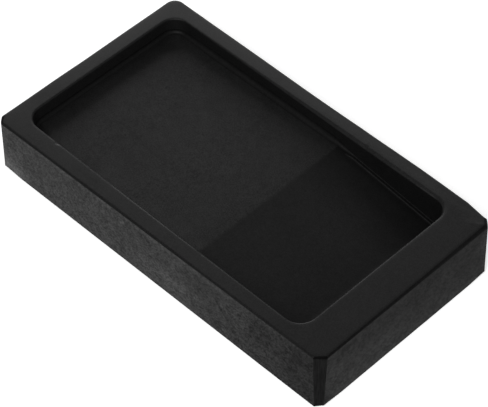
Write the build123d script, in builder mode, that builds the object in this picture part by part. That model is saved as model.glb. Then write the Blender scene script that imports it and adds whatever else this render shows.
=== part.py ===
from build123d import *
import os

# An ink stone: one block of fine dark slate with a basin carved into its top.
# The basin's floor is level under the grinding field. From a straight ridge across
# the block it falls as a ramp to the ink well. A level rim runs all round the mouth,
# and it is widest beside the well.
#
# Sizes are in millimetres and angles in degrees. The origin is the centre of the
# underside. +X runs along the block to the well, +Y across it and +Z up.

# Block
block_length = 136.0
block_width = 75.0
block_height = 21.0
corner_facet = 2.7  # leg of the flat facet ground on each upright corner
top_bevel = 1.0  # leg of the bevel round the top
foot_bevel = 0.3  # leg of the bevel round the underside

# Rim, from the outer faces to the basin's walls at the mouth
side_rim = 6.0
field_end_rim = 6.15
well_end_rim = 12.6

# Basin
mouth_corner_radius = 5.5
mouth_round = 0.8  # rounding of the rim's inner edge
wall_lean = 4.0  # angle of the walls from upright, in towards the floor
cove_radius = 1.2  # hollow between the floor and the walls
field_length = 73.25  # from the end wall, at the mouth, to the ridge
field_depth = 5.4
well_depth = 10.3
well_floor_length = 5.5  # level floor of the well, from the end wall at the mouth
ramp_foot_radius = 14.0  # hollow between the ramp and the well's level floor
floor_share = 0.5  # a face of the basin's space that faces down by more than this is a floor

# Places that follow from the sizes
basin_start = -block_length / 2 + field_end_rim
basin_end = block_length / 2 - well_end_rim
basin_middle = (basin_start + basin_end) / 2
basin_length = basin_end - basin_start
basin_width = block_width - 2 * side_rim
ridge_x = basin_start + field_length
ramp_foot_x = basin_end - well_floor_length
field_level = block_height - field_depth
well_level = block_height - well_depth
ramp_slope = (field_level - well_level) / (ramp_foot_x - ridge_x)


def space_above(floor):
    """Make the basin's space above one floor, which is a line from the field's end to the well's.

    The walls lean in on all four sides, and a cove joins them to the floor.
    """
    with BuildPart() as space:
        with BuildSketch(Plane.XY.offset(block_height)):
            with Locations((basin_middle, 0)):
                RectangleRounded(basin_length, basin_width, mouth_corner_radius)
        extrude(amount=-block_height, taper=wall_lean)

        with BuildSketch(Plane.XZ):
            with BuildLine():
                add(floor)
                Polyline(floor @ 1, (basin_end, 0), (basin_start, 0), floor @ 0)
            make_face()
        extrude(amount=basin_width, both=True, mode=Mode.SUBTRACT)

        # The creases across the floor, between its own faces, get no cove
        floor_faces = space.faces().filter_by(lambda face: -face.normal_at().Z > floor_share)
        floor_edges = floor_faces.edges()
        creases = floor_edges.filter_by(Axis.Y).sort_by(Axis.X)[1:-1]
        fillet(floor_edges - creases, cove_radius)
    return space.part


# The level floor of the grinding field, seen from the side
field_floor = Line((basin_start, field_level), (basin_end, field_level))

# The ramp, carried on past the ridge to above the rim, and the well's level floor
ramp_floor = FilletPolyline(
    (basin_start, field_level + ramp_slope * field_length),
    (ramp_foot_x, well_level),
    (basin_end, well_level),
    radius=ramp_foot_radius,
)

# The whole basin: the ridge is where the two floors meet
with BuildPart() as basin:
    add(space_above(field_floor))
    add(space_above(ramp_floor))


# The block with its ground corners and bevels, and the basin cut into it
with BuildPart() as ink_stone:
    with BuildSketch():
        Rectangle(block_length, block_width)
        chamfer(vertices(), corner_facet)
    extrude(amount=block_height)
    chamfer(faces().sort_by(Axis.Z)[-1].edges(), top_bevel)
    chamfer(faces().sort_by(Axis.Z)[0].edges(), foot_bevel)

    add(basin.part, mode=Mode.SUBTRACT)
    rim_top = faces().sort_by(Axis.Z)[-1]
    fillet(rim_top.inner_wires()[0].edges(), mouth_round)

ink_stone.part.label = "ink_stone"

os.makedirs("parts", exist_ok=True)
export_step(ink_stone.part, "parts/ink_stone.step")
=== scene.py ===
import itertools
import math

import bmesh
import bpy
import numpy as np
from mathutils import Matrix, Vector


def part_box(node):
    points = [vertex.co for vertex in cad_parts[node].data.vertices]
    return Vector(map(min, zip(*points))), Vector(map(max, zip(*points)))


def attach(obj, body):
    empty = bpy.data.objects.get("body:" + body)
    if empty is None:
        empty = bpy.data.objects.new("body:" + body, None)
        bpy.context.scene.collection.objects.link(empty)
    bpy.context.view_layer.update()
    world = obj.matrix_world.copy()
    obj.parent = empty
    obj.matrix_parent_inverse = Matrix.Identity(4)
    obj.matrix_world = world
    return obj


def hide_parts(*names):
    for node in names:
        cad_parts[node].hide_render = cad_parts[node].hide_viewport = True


# The looks of an ink stone: one block of dark slate with a basin ground into its top.
# The carved block is one mesh, built in rows that run round the block, from the
# middle of the underside up the sides, over the rim and down into the basin.
# Sizes of the stone are in millimetres, and the mesh is made in metres at the end.
# Tables that go round the stone have a row for the near side, the well end, the far side
# and the field end, each with sizes from that side's start to its end, and corners follow
# in the same order from the one between the near side and the well end.

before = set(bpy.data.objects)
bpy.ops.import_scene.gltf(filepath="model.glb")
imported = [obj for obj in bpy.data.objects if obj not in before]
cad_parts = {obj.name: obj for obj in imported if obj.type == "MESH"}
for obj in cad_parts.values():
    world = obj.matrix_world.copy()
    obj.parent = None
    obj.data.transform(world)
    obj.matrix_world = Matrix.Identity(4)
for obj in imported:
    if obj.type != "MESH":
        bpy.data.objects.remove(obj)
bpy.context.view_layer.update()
scene = bpy.context.scene

MM = 0.001
X, Y, Z = range(3)
FACET_SHRINK = 2 - math.sqrt(2)  # what a facet's leg loses when its outline moves inwards by 1

# Block, from the frame
block_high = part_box("ink_stone")[1]
half_length = block_high.x / MM
half_width = block_high.y / MM
height = block_high.z / MM

# What the saw and the grinding left uneven
far_growth = 0.15  # how far the far side lies outside the even block
field_end_growth = 0.2  # the same for the field end
near_growths = (-0.25, 0.15)  # the same for the near side, at the top and at the foot
well_end_growths = (-0.05, 0.2)  # the same for the well end
far_swell_places = (-10, 5, 25, 38, 50, 57, 64)  # along X, where the far side swells as below
far_swells = (0.0, 0.1, 0.35, 0.5, 0.4, 0.3, -0.6)
far_swell_reach = 9.0  # how far from the even block's face the swell starts
far_swell_run = 4.0  # and the width in which it grows to its full size
near_skew = 1.0  # how far the near side runs in at the well end, and out at the field end
top_rise = 1.0  # how far the top lies higher at the well end, and lower at the field end
top_facets = (2.85, 2.9, 3.4, 2.7)  # leg of each upright corner's facet under the top
foot_facets = (2.0, 2.5, 3.2, 2.6)  # the same at the foot
facet_bulges = (0.0, 0.1, 0.9, 0.2)  # share of a full round in each facet
foot_bevel = 0.25
foot_wears = ((0.6, 0.05), (0.5, 0.6), (0.6, 0.6), (0.6, 0.6))  # what wear adds to it at the corners
wear_reach = 9.0  # length of side along which that wear fades
bevel_widths = ((0.55, 0.5, 0.5), (0.55, 0.65, 1.0), (1.0, 1.2, 0.9), (1.1, 1.2, 1.1))
bevel_wander = 0.07  # how far the bevel's width strays
bevel_wander_cell = 14.0  # about how long each stray is
bevel_softness = 0.4  # share of a full round in the bevel's section
rim_crowns = (  # how far the rim falls outwards
    (0.08, 0.03, 0.03, 0.03),
    (0.04, 0.06),
    (0.75, 0.4, 0.14, 0.05),
    (0.09, 0.09),
)

# Rim, from the even block's faces to the basin's walls at the mouth
near_rim = 6.25
far_rim = 5.87
field_end_rim = 6.15
well_end_rim = 12.6

# Basin
mouth_corner_radius = 5.5
wall_lean = math.radians(4.0)
field_length = 73.25
field_depth = 5.4
well_depth = 10.3
well_floor_length = 5.5
ramp_foot_radius = 14.0
ridge_fall = 0.08  # how far the grinding field is worn down at the ridge
ridge_wear = 12.0  # length of field that is worn down before the ridge
cove_places = (-60, -45, -8, 8, 15, 18)  # along X, where the cove has the radii below
cove_radii = (1.2, 1.7, 1.7, 1.7, 0.8, 0.35)
ledge_start = 14.0  # where a narrow ledge starts along the foot of the ramp's walls
ledge_run = 2.5  # length in which the ledge rises to its full size
ledge_width = 0.9
ledge_rise = 0.14
ledge_top_share = 0.7  # share of the ledge's width that is level, before it steps down

# Worn edge round the basin's mouth. Its softness is the share of a full round in its section.
edge_widths = ((0.8, 0.95, 0.85), (0.8, 0.75, 0.7), (0.95, 1.0, 0.6, 0.35), (0.6, 0.6, 0.7))
edge_drops = ((0.8, 0.8, 0.8), (0.75, 0.65, 0.5), (0.65, 0.65, 0.5, 0.4), (0.5, 0.5, 0.6))
edge_softness = ((1, 1, 1), (1, 1, 0.7), (0.3, 0.3, 0.8, 0.8), (0.8, 0.8, 1))

# Places that follow from the sizes
far_y = half_width + far_growth
field_end_x = -half_length - field_end_growth
end_x = half_length + well_end_growths[0]
basin_near = -half_width + near_rim
basin_far = half_width - far_rim
basin_start = -half_length + field_end_rim
basin_end = half_length - well_end_rim
ridge_x = basin_start + field_length
ramp_foot_x = basin_end - well_floor_length
ramp_slope = (well_depth - field_depth - ridge_fall) / (ramp_foot_x - ridge_x)
arc_start_x = basin_start + mouth_corner_radius
arc_end_x = basin_end - mouth_corner_radius
arc_near_y = basin_near + mouth_corner_radius
arc_far_y = basin_far - mouth_corner_radius

# Relief of the sawn sides
wave_depth = 0.05
wave_cell = 9.0
saw_mark_depth = 0.03
saw_mark_cell = 1.6
end_reach = 1.5  # how far inside the block's ends a point still counts as on a side
side_reach = 3.0  # the same for the long sides
upright_fade = 1.5  # how fast the relief fades as the surface turns level

# Each chip has a place, a radius and a depth
chips = (
    ((-46.6, -31.9, 20.2), 0.7, 0.22),
    ((-15.7, -37.4, 20.6), 0.9, 0.25),
    ((-12.4, -37.6, 16.7), 0.8, 0.15),
    ((21.0, 32.6, 21.3), 0.7, 0.15),
)

# Spacing of the mesh along the ring, and the rows in each band of it
side_step = 0.6
edge_step = 0.25
corner_points = 13
underside_rows = 8
foot_bevel_rows = 4
side_rows = 30
top_bevel_rows = 7
rim_rows = 14
edge_rows = 7
wall_rows = 12
cove_rows = 8
ledge_rows = 8
border_rows = 7
decimals = 4  # to which the points along a side are rounded
weld_distance = 1e-4

# Finishes, in the order of the mesh's materials
FINISHES = (
    "long side",
    "end side",
    "facet",
    "corner",
    "bevel",
    "rim",
    "edge",
    "wall",
    "cove",
    "field",
    "ramp",
    "underside",
)

# Noise for the shapes
TABLE_SIZE = 32
BEVEL_SEED = 3
WAVE_SEED = 11
SAW_MARK_SEED = 21


def soft_noise(points, cell, seed):
    """Give smooth noise from -1 to 1 at points, with features about as large as a cell."""
    table = np.random.default_rng(seed).uniform(-1, 1, (TABLE_SIZE,) * 3)
    place = points / cell
    base = np.floor(place).astype(int)
    share = place - base
    share = share * share * (3 - 2 * share)
    total = np.zeros(len(points))
    for corner in itertools.product((0, 1), repeat=3):
        weight = np.prod(np.where(corner, share, 1 - share), axis=1)
        index = (base + corner) % TABLE_SIZE
        total += weight * table[index[:, X], index[:, Y], index[:, Z]]
    return total


def layered_noise(points, cell, seed, layers=3):
    """Add finer and weaker layers of noise to the first."""
    total = np.zeros(len(points))
    for layer in range(layers):
        total += soft_noise(points, cell / 2 ** layer, seed + layer) / 2 ** layer
    return total


def smooth_step(value):
    """Rise smoothly from 0 to 1 as a value does."""
    share = np.clip(value, 0, 1)
    return share * share * (3 - 2 * share)


# Outlines, seen from above. Both have a point for each share along each side and for each
# share round each corner, counter-clockwise from the near side's field end.
def side_shares(length, marks=()):
    """Share a side's length into steps, with finer ones at its ends and points at the marks."""
    even = np.linspace(0, length, round(length / side_step) + 1)
    ends = np.array([edge_step, 2 * edge_step])
    places = np.concatenate([even, ends, length - ends, marks])
    places = np.unique(np.round(places, decimals))
    fixed = {0.0, float(places[-1]), *np.round(marks, decimals)}
    keep = np.ones(len(places), bool)
    for index in np.flatnonzero(np.diff(places) < edge_step / 2):
        keep[index + 1 if float(places[index]) in fixed else index] = False
    return places[keep] / length


long_shares = side_shares(arc_end_x - arc_start_x, [ridge_x - arc_start_x])
short_shares = side_shares(arc_far_y - arc_near_y)
corner_shares = np.linspace(0, 1, corner_points + 1)[1:-1]
side_share_sets = (long_shares, short_shares, 1 - long_shares[::-1], 1 - short_shares[::-1])
OUTWARD = np.array(((1, -1), (1, 1), (-1, 1), (-1, -1))) / math.sqrt(2)  # at each corner


def ring(corners, bend):
    """Join four corners, each a (start, end) pair of points, by sides, and bend each corner."""
    parts = []
    for side in range(4):
        start = np.array(corners[side - 1][1], float)
        end = np.array(corners[side][0], float)
        parts.append(start + side_share_sets[side][:, None] * (end - start))
        parts.append(bend(side, corners[side]))
    return np.concatenate(parts)


def ring_facets():
    """Say which of the ring's steps lie on a corner."""
    flags = []
    for shares_of_side in side_share_sets:
        flags += [False] * (len(shares_of_side) - 1) + [True] * (len(corner_shares) + 1)
    return np.array(flags)


def ring_ends():
    """Say which of the ring's steps lie on the well end or the field end."""
    flags = []
    for side, shares_of_side in enumerate(side_share_sets):
        flags += [side % 2 == 1] * (len(shares_of_side) + len(corner_shares))
    return np.array(flags)


def near_y(x, growth=near_growths[0]):
    """Give the place of the near side, which runs in towards the well end."""
    return -half_width - growth + near_skew * x / half_length


def block_ring(inset, legs, level):
    """Give the block's outline at a level (0 the top, 1 the foot), moved inwards by an inset.

    Its corners have facets of the given legs.
    """
    well = half_length + well_end_growths[level] - inset
    field = field_end_x + inset
    far = far_y - inset
    legs = np.clip(np.asarray(legs) - inset * FACET_SHRINK, 0, None)

    def near(x):
        return near_y(x, near_growths[level]) + inset

    corners = (
        ((well - legs[0], near(well - legs[0])), (well, near(well) + legs[0])),
        ((well, far - legs[1]), (well - legs[1], far)),
        ((field + legs[2], far), (field, far - legs[2])),
        ((field, near(field) + legs[3]), (field + legs[3], near(field + legs[3]))),
    )

    def facet(side, pair):
        start, end = np.array(pair, float)
        full_round = legs[side] * (1 - 1 / math.sqrt(2))
        bulge = facet_bulges[side] * full_round * 4 * corner_shares * (1 - corner_shares)
        return start + corner_shares[:, None] * (end - start) + bulge[:, None] * OUTWARD[side]

    outline = ring(corners, facet)
    swell = np.interp(outline[:, X], far_swell_places, far_swells)
    towards_far = (outline[:, Y] - (half_width - far_swell_reach)) / far_swell_run
    outline[:, Y] += swell * smooth_step(towards_far)
    return outline


def mouth_ring(inset):
    """Give the basin's outline, moved inwards by an inset, with round corners."""
    radius = mouth_corner_radius - inset
    centres = (
        (arc_end_x, arc_near_y),
        (arc_end_x, arc_far_y),
        (arc_start_x, arc_far_y),
        (arc_start_x, arc_near_y),
    )
    turns = (-math.pi / 2, 0, math.pi / 2, math.pi)

    def arc_point(corner, share):
        angle = turns[corner] + share * math.pi / 2
        x, y = centres[corner]
        return x + radius * math.cos(angle), y + radius * math.sin(angle)

    def arc(side, pair):
        return np.array([arc_point(side, share) for share in corner_shares])

    return ring([(arc_point(corner, 0), arc_point(corner, 1)) for corner in range(4)], arc)


on_facet = ring_facets()
on_end = ring_ends()
top_outline = block_ring(0, top_facets, 0)
top_inward = block_ring(1, top_facets, 0) - top_outline
foot_outline = block_ring(0, foot_facets, 1)
foot_inward = block_ring(1, foot_facets, 1) - foot_outline
mouth_outline = mouth_ring(0)
mouth_inward = mouth_ring(1) - mouth_outline
ring_size = len(mouth_outline)


def inside(outline, inward, inset):
    """Give an outline's points, moved inwards by one inset or by one for each point."""
    return outline + np.reshape(inset, (-1, 1)) * inward


def rim_level(x):
    """Give the level of the top, which rises towards the well end."""
    return height + top_rise * x / half_length


def floor_depth(x):
    """Give the depth of the basin's floor under the rim: a field, a ramp and a level well."""
    wear = np.clip((x - ridge_x + ridge_wear) / ridge_wear, 0, 1) ** 2
    field = field_depth + ridge_fall * wear
    ramp = field_depth + ridge_fall + ramp_slope * (x - ridge_x)
    reach = ramp_foot_radius * math.tan(math.atan(ramp_slope) / 2)
    foot = well_depth - ramp_slope * (ramp_foot_x + reach - x) ** 2 / (4 * reach)
    depth = np.where(x < ridge_x, field, ramp)
    depth = np.where(x > ramp_foot_x - reach, foot, depth)
    return np.where(x > ramp_foot_x + reach, well_depth, depth)


def floor_level(x):
    """Give the level of the basin's floor."""
    return rim_level(x) - floor_depth(x)


def round_the_ring(sizes):
    """Give a size at each point of the ring from its sizes at even places along each side."""
    values = []
    for side in range(4):
        places = np.linspace(0, 1, len(sizes[side]))
        values.append(np.interp(side_share_sets[side], places, sizes[side]))
        next_start = sizes[(side + 1) % 4][0]
        values.append(sizes[side][-1] + corner_shares * (next_start - sizes[side][-1]))
    return np.concatenate(values)


def bevel_width():
    """Give the top bevel's width at each point of the ring, which strays as hand grinding does."""
    places = np.column_stack([top_outline, np.zeros(ring_size)])
    wander = layered_noise(places, bevel_wander_cell, BEVEL_SEED)
    return round_the_ring(bevel_widths) + bevel_wander * wander


def foot_width():
    """Give the foot bevel's width at each point of the ring, which grows towards the corners."""
    values = []
    for side in range(4):
        length = 2 * half_length if side % 2 == 0 else 2 * half_width
        at_start, at_end = foot_wears[side]
        next_start = foot_wears[(side + 1) % 4][0]
        from_start = side_share_sets[side] * length
        worn = at_start * (1 - smooth_step(from_start / wear_reach))
        worn += at_end * (1 - smooth_step((length - from_start) / wear_reach))
        values.append(worn)
        values.append(at_end + corner_shares * (next_start - at_end))
    return foot_bevel + np.concatenate(values)


# Rows of the mesh. Each is a ring of points, and each band between two rows has a finish.
rows = []
bands = []


def add_row(outline, level, finish):
    """Add a ring of points at one level, or at one for each point, and the finish below it."""
    rows.append(np.column_stack([outline, np.broadcast_to(level, ring_size)]))
    bands.append(finish)


def shares(count, first=False):
    """Give even shares up to 1, and 0 too if the band has no row yet."""
    return np.linspace(0, 1, count + 1)[0 if first else 1:]


def round_off(share, softness):
    """Give how far a section has come in its first and in its last direction.

    It is a straight line at no softness and a quarter of a circle at a softness of 1.
    """
    angle = share * math.pi / 2
    first = (1 - softness) * share + softness * math.sin(angle)
    last = (1 - softness) * share + softness * (1 - math.cos(angle))
    return first, last


def build_outside():
    """Lay the rows from the middle of the underside up to the rim's outer border."""
    foot = foot_width()
    middle_inset = max(foot_facets) / FACET_SHRINK
    for share in shares(underside_rows, first=True):
        narrow = block_ring(middle_inset * (1 - share), np.array(foot_facets) * share, 1)
        add_row(inside(narrow, foot_inward, share * foot), 0, "underside")
    for share in shares(foot_bevel_rows):
        add_row(inside(foot_outline, foot_inward, foot * (1 - share)), foot * share, "bevel")

    top_bevel = bevel_width()
    border = inside(top_outline, top_inward, top_bevel)
    border_level = rim_level(border[:, X]) - round_the_ring(rim_crowns)
    for share in shares(side_rows):
        outline = foot_outline + share * (top_outline - foot_outline)
        add_row(outline, foot + share * (border_level - top_bevel - foot), "side")
    for share in shares(top_bevel_rows):
        up, across = round_off(share, bevel_softness)
        outline = inside(top_outline, top_inward, top_bevel * across)
        add_row(outline, border_level - top_bevel * (1 - up), "bevel")
    return border


def build_rim(border):
    """Lay the rows across the rim and round the mouth's edge."""
    crown = round_the_ring(rim_crowns)
    width = round_the_ring(edge_widths)
    drop = round_the_ring(edge_drops)
    softness = round_the_ring(edge_softness)
    inner = inside(mouth_outline, mouth_inward, -width)
    for share in shares(rim_rows):
        outline = border + share * (inner - border)
        add_row(outline, rim_level(outline[:, X]) - crown * (1 - share) ** 2, "rim")
    for share in shares(edge_rows):
        across, down = round_off(share, softness)
        outline = inside(mouth_outline, mouth_inward, width * (across - 1))
        add_row(outline, rim_level(outline[:, X]) - drop * down, "edge")
    return drop


def build_basin(edge_drop):
    """Lay the rows down the walls, round the cove, over the ledge and across the floor's border."""
    x = inside(mouth_outline, mouth_inward, mouth_corner_radius)[:, X]
    depth = floor_depth(x)
    radius = np.interp(x, cove_places, cove_radii)
    ledge = ledge_rise * smooth_step((x - ledge_start) / ledge_run)
    cove_top = depth - ledge - radius
    lean = math.tan(wall_lean)

    def lay(inset, down, finish):
        outline = inside(mouth_outline, mouth_inward, inset)
        add_row(outline, rim_level(outline[:, X]) - down, finish)

    for share in shares(wall_rows):
        down = edge_drop + share * (cove_top - edge_drop)
        lay((down - edge_drop) * lean, down, "wall")
    cove_inset = (cove_top - edge_drop) * lean
    for share in shares(cove_rows):
        angle = share * math.pi / 2
        lay(cove_inset + radius * (1 - math.cos(angle)), cove_top + radius * math.sin(angle), "cove")
    foot_inset = cove_inset + radius
    for share in shares(ledge_rows):
        stepped = ledge * (1 - smooth_step((share - ledge_top_share) / (1 - ledge_top_share)))
        lay(foot_inset + share * ledge_width, depth - stepped, "border")
    floor_inset = foot_inset + ledge_width
    for share in shares(border_rows):
        lay(floor_inset + share * (mouth_corner_radius - floor_inset), depth, "border")


def ring_sides():
    """Give the ring's indices along its near, well, far and field sides."""
    starts = [0]
    for shares_of_side in side_share_sets:
        starts.append(starts[-1] + len(shares_of_side) + len(corner_shares))
    return [range(starts[side], starts[side] + len(side_share_sets[side])) for side in range(4)]


def fill_middle(vertices, faces, finishes, row, finish_at, level_at, flip=False):
    """Fill the rectangle inside one row with a grid, and use the row's points for its border.

    The finish and the level of the grid follow from the place along X, and its faces look up
    unless they are flipped.
    """
    near, well, far, field = ring_sides()
    first = row * ring_size
    xs = rows[row][list(near), X]
    ys = rows[row][list(well), Y]
    grid = -np.ones((len(xs), len(ys)), int)
    grid[:, 0] = [first + index for index in near]
    grid[-1, :] = [first + index for index in well]
    grid[:, -1] = [first + index for index in reversed(far)]
    grid[0, :] = [first + index for index in reversed(field)]
    inner_x, inner_y = np.meshgrid(xs[1:-1], ys[1:-1], indexing="ij")
    inner = np.column_stack([inner_x.ravel(), inner_y.ravel(), level_at(inner_x.ravel())])
    start = sum(len(part) for part in vertices)
    grid[1:-1, 1:-1] = start + np.arange(inner_x.size).reshape(inner_x.shape)
    vertices.append(inner)
    corners = [grid[:-1, :-1], grid[1:, :-1], grid[1:, 1:], grid[:-1, 1:]]
    quads = np.stack(corners, axis=-1).reshape(-1, 4)
    faces.append(quads[:, ::-1] if flip else quads)
    middle_x = np.repeat((xs[:-1] + xs[1:]) / 2, len(ys) - 1)
    finishes.append(np.array([FINISHES.index(finish_at(x)) for x in middle_x]))


def underside_finish(x):
    """Give the underside's finish, which is the same at every place."""
    return "underside"


def underside_level(x):
    """Give the level of the underside at each of some places."""
    return np.zeros(len(x))


def floor_finish(x):
    """Give the floor's finish, which changes at the ridge."""
    return "field" if x < ridge_x else "ramp"


def band_finishes(row):
    """Give the finish of each face in the band below a row."""
    if bands[row] == "side":
        finish = np.where(on_end, FINISHES.index("end side"), FINISHES.index("long side"))
        return np.where(on_facet, FINISHES.index("facet"), finish)
    if bands[row] == "bevel":
        return np.where(on_facet, FINISHES.index("corner"), FINISHES.index("bevel"))
    if bands[row] == "border":
        x = (rows[row][:, X] + np.roll(rows[row][:, X], -1)) / 2
        return np.array([FINISHES.index(floor_finish(value)) for value in x])
    return np.full(ring_size, FINISHES.index(bands[row]))


def build_block():
    """Make the carved block's mesh, with its finish on each face."""
    rim_border = build_outside()
    edge_drop = build_rim(rim_border)
    build_basin(edge_drop)
    vertices = [np.concatenate(rows)]
    faces = []
    finishes = []
    here = np.arange(ring_size)
    ahead = (here + 1) % ring_size
    for row in range(1, len(rows)):
        low = (row - 1) * ring_size
        high = row * ring_size
        faces.append(np.column_stack([low + here, low + ahead, high + ahead, high + here]))
        finishes.append(band_finishes(row))
    fill_middle(vertices, faces, finishes, 0, underside_finish, underside_level, flip=True)
    fill_middle(vertices, faces, finishes, len(rows) - 1, floor_finish, floor_level)

    mesh = bpy.data.meshes.new("carved_slate")
    mesh.from_pydata(np.concatenate(vertices).tolist(), [], np.concatenate(faces).tolist())
    mesh.polygons.foreach_set("material_index", np.concatenate(finishes))
    shape = bmesh.new()
    shape.from_mesh(mesh)
    bmesh.ops.remove_doubles(shape, verts=shape.verts, dist=weld_distance)
    for face in shape.faces:
        face.smooth = True
    shape.to_mesh(mesh)
    shape.free()
    return mesh


# Relief
def mesh_points(mesh):
    """Give the mesh's points and their normals."""
    points = np.zeros(len(mesh.vertices) * 3)
    normals = np.zeros(len(mesh.vertices) * 3)
    mesh.vertices.foreach_get("co", points)
    mesh.vertices.foreach_get("normal", normals)
    return points.reshape(-1, 3), normals.reshape(-1, 3)


def carve(mesh):
    """Sink the surface a little, as saw marks, waviness and chips do, and put it in metres."""
    points, normals = mesh_points(mesh)
    upright = np.clip(1 - np.abs(normals[:, Z]) * upright_fade, 0, 1)
    at_end = np.abs(points[:, X]) > half_length - end_reach
    at_side = np.abs(points[:, Y]) > half_width - side_reach
    wave = wave_depth * np.clip(1 + layered_noise(points, wave_cell, WAVE_SEED), 0, None) / 2
    saw_marks = saw_mark_depth * np.abs(soft_noise(points, saw_mark_cell, SAW_MARK_SEED))
    sink = upright * (at_end | at_side) * (wave + saw_marks)
    for place, radius, depth in chips:
        distance = np.linalg.norm(points - np.array(place), axis=1)
        sink += depth * np.clip(1 - (distance / radius) ** 2, 0, 1) ** 2
    points = points - normals * sink[:, None]
    mesh.vertices.foreach_set("co", (points * MM).ravel())
    mesh.update()


# Materials
class Nodes:
    """Builds one material's nodes, with short calls for what the finishes share."""

    def __init__(self, name):
        self.material = bpy.data.materials.new(name)
        self.material.use_nodes = True
        self.tree = self.material.node_tree
        self.shader = self.tree.nodes["Principled BSDF"]
        self.place = self.tree.nodes.new("ShaderNodeTexCoord").outputs["Object"]

    def add(self, kind, inputs=(), **settings):
        """Add a node, set its settings, and link or set its inputs."""
        node = self.tree.nodes.new(kind)
        for key, value in settings.items():
            setattr(node, key, value)
        for key, value in dict(inputs).items():
            self.give(node.inputs[key], value)
        return node

    def give(self, socket, value):
        """Link an output to a socket, or set the socket's own value."""
        if isinstance(value, bpy.types.NodeSocket):
            self.tree.links.new(value, socket)
        else:
            socket.default_value = value

    def noise(self, size, detail=3.0, roughness=0.5, stretch=(1, 1, 1), turn=(0, 0, 0), distortion=0.0):
        """Give noise with features of a size in millimetres, stretched along turned axes."""
        turning = {"Vector": self.place, "Rotation": turn}
        turned = self.add("ShaderNodeMapping", turning, vector_type="TEXTURE").outputs[0]
        scale = [1 / (size * MM * along) for along in stretch]
        inputs = {
            "Vector": self.add("ShaderNodeMapping", {"Vector": turned, "Scale": scale}).outputs[0],
            "Scale": 1.0,
            "Detail": detail,
            "Roughness": roughness,
            "Distortion": distortion,
        }
        return self.add("ShaderNodeTexNoise", inputs).outputs["Fac"]

    def along(self, axis):
        """Give the place along one axis, in millimetres."""
        parts = self.add("ShaderNodeSeparateXYZ", {0: self.place})
        return self.math("DIVIDE", parts.outputs[axis], MM)

    def vector(self, operation, *values, output=0):
        """Combine vectors by one operation."""
        return self.add("ShaderNodeVectorMath", dict(enumerate(values)), operation=operation).outputs[output]

    def scaled(self, vector, share):
        """Scale a vector by a share."""
        return self.add("ShaderNodeVectorMath", {0: vector, "Scale": share}, operation="SCALE").outputs[0]

    def pushed_place(self, size, reach):
        """Give the place, pushed about by noise of a size and up to a reach, in millimetres."""
        inputs = {"Vector": self.place, "Scale": 1 / (size * MM), "Detail": 2.0}
        colour = self.add("ShaderNodeTexNoise", inputs).outputs["Color"]
        push = self.scaled(self.vector("SUBTRACT", colour, (0.5, 0.5, 0.5)), 2 * reach * MM)
        return self.vector("ADD", self.place, push)

    def stroke(self, place, start, end, width):
        """Give 1 on a line between two places in millimetres, and 0 beyond a width from it."""
        line = (Vector(end) - Vector(start)) * MM
        from_start = self.vector("SUBTRACT", place, Vector(start) * MM)
        share = self.vector("DOT_PRODUCT", from_start, line / line.length_squared, output=1)
        nearest = self.scaled(line, self.remap(share, 0, 1))
        away = self.vector("LENGTH", self.vector("SUBTRACT", from_start, nearest), output=1)
        return self.remap(away, 0, width * MM, 1.0, 0.0)

    def marked(self, strokes, size=1.5, reach=0.4):
        """Give a factor that is 1, and more or less along strokes of (start, end, width, strength)."""
        total = 1.0
        place = self.pushed_place(size, reach) if strokes else None
        for start, end, width, strength in strokes:
            total = self.math("MULTIPLY_ADD", self.stroke(place, start, end, width), strength, total)
        return total

    def faded(self, fades):
        """Give a factor from fades of (axis, start, end, share at the start, share at the end)."""
        total = 1.0
        for axis, start, end, at_start, at_end in fades:
            total = self.math("MULTIPLY", total, self.remap(self.along(axis), start, end, at_start, at_end))
        return total

    def product(self, *values):
        """Multiply values."""
        total = values[0]
        for value in values[1:]:
            total = self.math("MULTIPLY", total, value)
        return total

    def remap(self, value, low, high, to_low=0.0, to_high=1.0):
        """Map a range of values to another, and hold it there."""
        inputs = {0: value, 1: low, 2: high, 3: to_low, 4: to_high}
        return self.add("ShaderNodeMapRange", inputs).outputs[0]

    def math(self, operation, *values):
        """Combine values by one operation."""
        return self.add("ShaderNodeMath", dict(enumerate(values)), operation=operation).outputs[0]

    def mixed(self, reach, *parts):
        """Mix noises, each given with its weight, and stretch a reach about their middle to 0 and 1."""
        total = 0.0
        for value, weight in parts:
            stretched = self.remap(value, 0.5 - reach, 0.5 + reach)
            total = self.math("MULTIPLY_ADD", stretched, weight, total)
        return total

    def bump(self, value, depth, normal=None):
        """Turn a value into relief of a depth in millimetres."""
        inputs = {"Height": value, "Strength": 1.0, "Distance": depth * MM}
        if normal is not None:
            inputs["Normal"] = normal
        return self.add("ShaderNodeBump", inputs).outputs[0]


ground_reach = 0.15  # of the noises in a ground finish, which sets their contrast
sawn_reach = 0.12  # the same in a sawn finish
roughness_wander = 0.03
sawn_roughness = (0.7, 0.85)
sawn_gloss = 0.05
darkest_sawn = 0.002
rough_gain = 1.3  # how much stronger the mottling is in a rough range
streak_depth = 0.03
patch_depth = 0.05

# The saw ran across both kinds of side, along this line
saw_line = Vector((1, -1, 1))
saw_turn = Vector((0, 0, 1)).rotation_difference(saw_line).to_euler()


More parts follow.
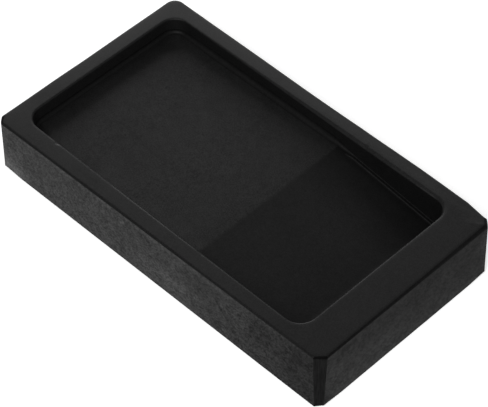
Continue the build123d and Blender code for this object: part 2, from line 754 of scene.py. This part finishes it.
def slate(name, colour, roughness, gloss, contrast, relief, fades=(), strokes=(), stretch=(1, 1, 1)):
    """Make one ground finish of the slate, near black, which differs in gloss and relief.

    Colour and gloss vary by a contrast and by fades, which here paint light and shade over a face, and
    strokes are marks in the gloss alone, some of them painted highlights and shadows.
    The grain is stretched where grinding lines show.
    """
    nodes = Nodes(name)
    cloud = nodes.noise(10, detail=4, distortion=0.3)
    patch = nodes.noise(1.8, detail=4, roughness=0.6)
    grain = nodes.noise(0.4, detail=3, roughness=0.6, stretch=stretch)
    tone = nodes.mixed(ground_reach, (cloud, 0.12), (patch, 0.2), (grain, 0.68))
    varied = nodes.remap(tone, 0, 1, 1 - contrast, 1 + contrast)
    varied = nodes.product(varied, nodes.faded(fades))
    smooth = roughness - roughness_wander
    rough = roughness + roughness_wander
    nodes.give(nodes.shader.inputs["Base Color"], nodes.product(varied, colour))
    nodes.give(nodes.shader.inputs["Roughness"], nodes.remap(tone, 0, 1, smooth, rough))
    nodes.give(nodes.shader.inputs["Specular IOR Level"], nodes.product(varied, nodes.marked(strokes), gloss))
    nodes.give(nodes.shader.inputs["Normal"], nodes.bump(grain, relief))
    return nodes.material


def sawn_slate(name, colour, coarseness, contrast, fades, strokes, rough_range):
    """Make one finish of the sawn sides: chalky, mottled and streaked.

    The colour varies by a contrast, by fades and by strokes. The mottling grows stronger over
    the rough range, which lies along the first fade's axis.
    """
    nodes = Nodes(name)
    cloud = nodes.noise(7, detail=3, roughness=0.55)
    patch = nodes.noise(2.4 * coarseness, detail=4, roughness=0.6, distortion=0.6)
    streak = nodes.noise(0.7 * coarseness, detail=3, stretch=(1, 1, 7), turn=saw_turn, distortion=0.3)
    grain = nodes.noise(0.4 * coarseness, detail=2)
    tone = nodes.mixed(sawn_reach, (cloud, 0.1), (patch, 0.35), (streak, 0.42), (grain, 0.13))
    strength = nodes.remap(nodes.along(fades[0][0]), *rough_range, contrast, contrast * rough_gain)
    varied = nodes.math("MULTIPLY_ADD", nodes.remap(tone, 0, 1, -1.0, 1.0), strength, 1.0)
    shade = nodes.product(colour, varied, nodes.marked(strokes, reach=0.8), nodes.faded(fades))
    relief = nodes.bump(streak, streak_depth)
    nodes.give(nodes.shader.inputs["Base Color"], nodes.math("MAXIMUM", shade, darkest_sawn))
    nodes.give(nodes.shader.inputs["Roughness"], nodes.remap(tone, 0, 1, *sawn_roughness))
    nodes.give(nodes.shader.inputs["Specular IOR Level"], sawn_gloss)
    nodes.give(nodes.shader.inputs["Normal"], nodes.bump(patch, patch_depth, relief))
    return nodes.material


# Faces that carry marks. Each turns two coordinates on the face into a place in space.
def near_side(x, z):
    """Give the place of a point on the near side."""
    return x, near_y(x), z


def well_end_side(y, z):
    """Give the place of a point on the well end's side."""
    return end_x, y, z


def basin_floor(x, y):
    """Give the place of a point on the basin's floor."""
    return x, y, float(floor_level(x))


def rim(x, y):
    """Give the place of a point on the rim."""
    return x, y, float(rim_level(x))


def on_face(face, marks):
    """Turn marks on a face into strokes in space."""
    return [(face(*start), face(*end), width, strength) for start, end, width, strength in marks]


# Scratches, scuffs and pale or dark spots, and one painted pool of light on the floor. Each mark has a start,
# an end, a width and a strength, which is above 0 where it is paler. A long wide one is a cloud.
near_side_marks = (
    ((-13, 16.3), (-11.5, 17.5), 0.7, 0.8),
    ((27, 14), (31.5, 9), 0.7, -0.55),
    ((45, 14.2), (45.6, 15), 1.2, -0.4),
    ((50, 10), (55, 15), 0.9, -0.4),
    ((53, 6), (58, 9.5), 1.2, -0.3),
    ((56, 12.5), (58, 14.5), 1.3, -0.35),
    ((59, 17), (60.5, 15.5), 1.8, -0.35),
    ((59.5, 6.5), (61, 8.5), 0.9, -0.35),
    ((42, 11), (48, 13), 5.0, -0.15),
    ((38, 12.5), (39, 13.5), 2.0, 0.25),
    ((18.5, 8), (19, 8.5), 1.5, 0.25),
    ((28, 12.5), (29, 13), 1.0, 0.3),
    ((-66, 18.8), (66, 20.8), 1.2, 0.3),
    ((-66, 2), (-60, 1), 7.0, 0.75),
    ((-45, 4), (-41, 8), 1.0, 0.25),
    ((-3, 7), (12, 7), 6.0, 0.2),
    ((31, 16), (37, 16), 4.0, 0.25),
    ((14, 14), (22, 14), 4.0, -0.12),
)
well_end_marks = (
    ((-27, 19), (-22, 19.3), 1.7, -0.4),
    ((-36, 4.5), (-33, 2.5), 2.2, -0.55),
    ((-30, 3.5), (-27, 4.5), 2.0, 0.15),
    ((-34, 6), (-29, 6), 3.0, -0.25),
    ((-15, 15), (-2, 15), 3.0, -0.15),
    ((22, 10), (31, 10), 4.0, -0.18),
    ((-30, 7.5), (-29, 8.5), 1.2, -0.3),
    ((-25, 1.5), (30, 1.5), 1.6, 0.2),
    ((-20, 9), (-6, 6), 4.0, 0.12),
    ((32.5, 12), (32.5, 18), 2.4, 0.35),
    ((11, 15), (17, 15), 3.0, 0.15),
)
field_scratches_and_painted_light = (
    ((-32.5, 5), (-27.5, 12), 0.6, 0.12),
    ((-27.5, 12), (-22, 6), 0.6, 0.12),
    ((-39, -9.5), (-28, -11.2), 0.7, -0.15),
    ((-28, -11.2), (-17, -10), 0.7, -0.15),
    ((9.4, -13.9), (9.8, -13.5), 0.6, 0.5),
    ((8.0, -4.8), (8.4, -4.4), 0.5, 0.4),
    ((2, -12), (5, -10), 0.5, 0.2),
    ((4, -6), (7, -3), 0.5, 0.18),
    ((0, -2), (2, -1), 0.6, 0.18),
    # painted light: a broad pale band on the floor along the near wall's foot
    ((-30, -28.5), (8, -28.5), 6.0, 0.25),
)
rim_marks = (
    ((-34, -34.5), (-26, -34.5), 3.5, -0.15),
    ((-65, -23), (-65, -17), 4.0, -0.15),
    ((38, 34.4), (62, 34.4), 4.0, 0.15),
)

# These are strokes in space already: a painted shadow on a facet, and painted highlights and shade on the
# mouth's edge
facet_painted_shadow = (
    # painted shadow at the foot of the well end's near facet, where it meets the floor
    ((66, -36.5, 0.2), (66.8, -35.7, 0.2), 1.6, -0.6),
)
edge_painted_highlights_and_shade = (
    ((42, 31.75, 21.0), (50, 31.75, 21.1), 0.4, 1.2),
    ((-22, -31.9, 20.8), (12, -31.9, 21.1), 1.2, 0.6),
    ((16, -31.9, 21.2), (48, -31.9, 21.6), 1.2, 0.4),
    ((55.7, 6, 21.7), (55.7, 24, 21.7), 1.2, -0.2),
)

# Fades of the tone over a whole face. Each has an axis, a start, an end, and the share at both.
long_fades = ((X, 10, 62, 1.0, 0.48), (Z, 3, 18, 1.12, 0.9), (X, -66, -52, 1.2, 1.0))
end_fades = ((Y, -30, 12, 1.0, 0.78), (Z, 3, 18, 1.2, 0.82))
# painted sheen: the near side's bevel is half as glossy and pale again as the other bevels
bevel_painted_sheen = ((Y, -35.6, -35.2, 1.5, 1.0),)
# painted shade: the rim darkens towards the well end, where the lamps' reflection falls off
rim_painted_shade = ((X, 30, 54, 1.0, 0.9),)
# painted light and shade: the field end's wall is paler and the ramp's walls darker
wall_painted_light_and_shade = ((X, -61.5, -55, 1.4, 1.0), (X, 10, 30, 1.0, 0.85))
# painted shade: the cove darkens at the field end and along the ramp
cove_painted_shade = ((X, -59, -56, 0.9, 1.0), (X, 10, 30, 1.0, 0.85))
# painted light and shade on the field: darker towards the far wall and the field end, where the walls shade
# it, and paler in strips at the far wall's foot and at the very end
field_painted_light_and_shade = (
    (Y, 2, 21, 1.0, 0.78),
    (Y, 24, 27, 1.0, 1.4),
    (Y, 27.4, 29, 1.0, 1.25),
    (X, -58, -25, 0.87, 1.0),
    (X, -59, -56.5, 1.22, 1.0),
)
# painted light and shade on the ramp: darker towards the far wall and the well, and paler in a strip at the
# far wall's foot
ramp_painted_light_and_shade = ((Y, 9, 25, 1.0, 0.68), (Y, 23, 27, 1.0, 1.35), (X, 30, 50, 1.0, 0.85))


def sawn_materials():
    """Make the two sawn finishes."""
    long_side = sawn_slate(
        "slate_sawn_long",
        colour=0.048,
        coarseness=0.85,
        contrast=0.62,
        fades=long_fades,
        strokes=on_face(near_side, near_side_marks),
        rough_range=(25, 40),
    )
    end_side = sawn_slate(
        "slate_sawn_end",
        colour=0.042,
        coarseness=1.2,
        contrast=0.46,
        fades=end_fades,
        strokes=on_face(well_end_side, well_end_marks),
        rough_range=(-20, -35),
    )
    return [long_side, end_side]


def ground_materials():
    """Make the ground finishes, each from its colour, roughness, gloss, contrast and relief."""
    field_scratch_and_light_strokes = on_face(basin_floor, field_scratches_and_painted_light)
    rim_strokes = on_face(rim, rim_marks)
    return [
        slate("slate_facet", 0.0012, 0.38, 0.095, 0.5, 0.004, strokes=facet_painted_shadow, stretch=(1, 1, 20)),
        # painted shade: the bevels round the upright corners are a darker, duller copy of the bevel's finish
        slate("slate_corner_shaded", 0.0012, 0.5, 0.04, 0.3, 0.003),
        slate("slate_bevel", 0.0025, 0.38, 0.12, 0.3, 0.003, fades=bevel_painted_sheen),
        slate("slate_rim", 0.0055, 0.44, 0.19, 0.22, 0.003, fades=rim_painted_shade, strokes=rim_strokes),
        slate("slate_edge", 0.0055, 0.44, 0.17, 0.3, 0.003, strokes=edge_painted_highlights_and_shade),
        slate("slate_wall", 0.0065, 0.36, 0.16, 0.3, 0.003, fades=wall_painted_light_and_shade),
        slate("slate_cove", 0.0045, 0.48, 0.098, 0.3, 0.003, fades=cove_painted_shade),
        slate("slate_field", 0.005, 0.42, 0.158, 0.42, 0.004, fades=field_painted_light_and_shade, strokes=field_scratch_and_light_strokes),
        slate("slate_ramp", 0.0025, 0.46, 0.183, 0.25, 0.003, fades=ramp_painted_light_and_shade),
        slate("slate_underside", 0.03, 0.7, 0.3, 0.5, 0.02),
    ]


def add_object(name, data):
    """Add an object to the scene and give it back."""
    added = bpy.data.objects.new(name, data)
    scene.collection.objects.link(added)
    return added


# The stone, with its materials in the order of FINISHES
block_mesh = build_block()
carve(block_mesh)
for material in sawn_materials() + ground_materials():
    block_mesh.materials.append(material)
carved_block = add_object("carved_slate", block_mesh)
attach(carved_block, "root")
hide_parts("ink_stone")


# Camera, solved from the photo's straight edges
camera_place = Vector((0.323022, -0.314131, 0.527686))
camera_aim = Vector((0.004283, -0.003068, 0.0105))
camera_roll = math.radians(0.666)
camera_lens = 167.38

camera_data = bpy.data.cameras.new("camera")
camera_data.lens = camera_lens
camera = add_object("camera", camera_data)
camera.rotation_mode = "QUATERNION"
camera.location = camera_place
camera_turn = (camera_aim - camera_place).to_track_quat("-Z", "Y")
camera.rotation_quaternion = camera_turn @ Matrix.Rotation(-camera_roll, 3, "Z").to_quaternion()
scene.camera = camera


# Stage and lights, in metres, degrees and watts
WHITE = (1, 1, 1, 1)
floor_reach = 3.0
floor_colour = (0.8, 0.8, 0.8, 1)
floor_roughness = 0.9
floor_gloss = 0.1
floor_glow = 0.5
world_level = 0.42
lamp_distance = 1.6
lamp_size = 0.56
key_watts = 14.1
back_watts = 6.1


def add_floor():
    """Lay a pale floor under the stone, which shows white to the camera and keeps the shadow."""
    shape = bmesh.new()
    bmesh.ops.create_grid(shape, x_segments=1, y_segments=1, size=floor_reach)
    mesh = bpy.data.meshes.new("floor")
    shape.to_mesh(mesh)
    shape.free()
    floor = add_object("floor", mesh)
    nodes = Nodes("floor_white")
    seen = nodes.add("ShaderNodeLightPath").outputs["Is Camera Ray"]
    nodes.give(nodes.shader.inputs["Base Color"], floor_colour)
    nodes.give(nodes.shader.inputs["Roughness"], floor_roughness)
    nodes.give(nodes.shader.inputs["Specular IOR Level"], floor_gloss)
    nodes.give(nodes.shader.inputs["Emission Color"], WHITE)
    nodes.give(nodes.shader.inputs["Emission Strength"], nodes.math("MULTIPLY", seen, floor_glow))
    floor.data.materials.append(nodes.material)


def around(azimuth, elevation):
    """Give a lamp's place round the stone, from its angles."""
    turn = math.radians(azimuth)
    rise = math.radians(elevation)
    level = lamp_distance * math.cos(rise)
    return Vector((level * math.cos(turn), level * math.sin(turn), lamp_distance * math.sin(rise)))


def add_softbox(name, place, watts):
    """Hang a soft square lamp that faces the stone."""
    data = bpy.data.lights.new(name, "AREA")
    data.shape = "RECTANGLE"
    data.size = lamp_size
    data.size_y = lamp_size
    data.energy = watts
    lamp = add_object(name, data)
    lamp.location = place
    lamp.rotation_mode = "QUATERNION"
    lamp.rotation_quaternion = (-place).to_track_quat("-Z", "Y")
    lamp.visible_camera = False


def set_world():
    """Light the scene evenly a little, and show white behind it to the camera."""
    world = bpy.data.worlds.new("studio")
    scene.world = world
    world.use_nodes = True
    tree = world.node_tree
    background = tree.nodes["Background"]
    background.inputs["Color"].default_value = WHITE
    path = tree.nodes.new("ShaderNodeLightPath")
    strength = tree.nodes.new("ShaderNodeMapRange")
    strength.inputs["To Min"].default_value = world_level
    strength.inputs["To Max"].default_value = 1.0
    tree.links.new(path.outputs["Is Camera Ray"], strength.inputs["Value"])
    tree.links.new(strength.outputs[0], background.inputs["Strength"])


add_floor()
set_world()
add_softbox("key", around(azimuth=290, elevation=50), key_watts)
add_softbox("back", around(azimuth=140, elevation=22), back_watts)
scene.view_settings.view_transform = "Standard"
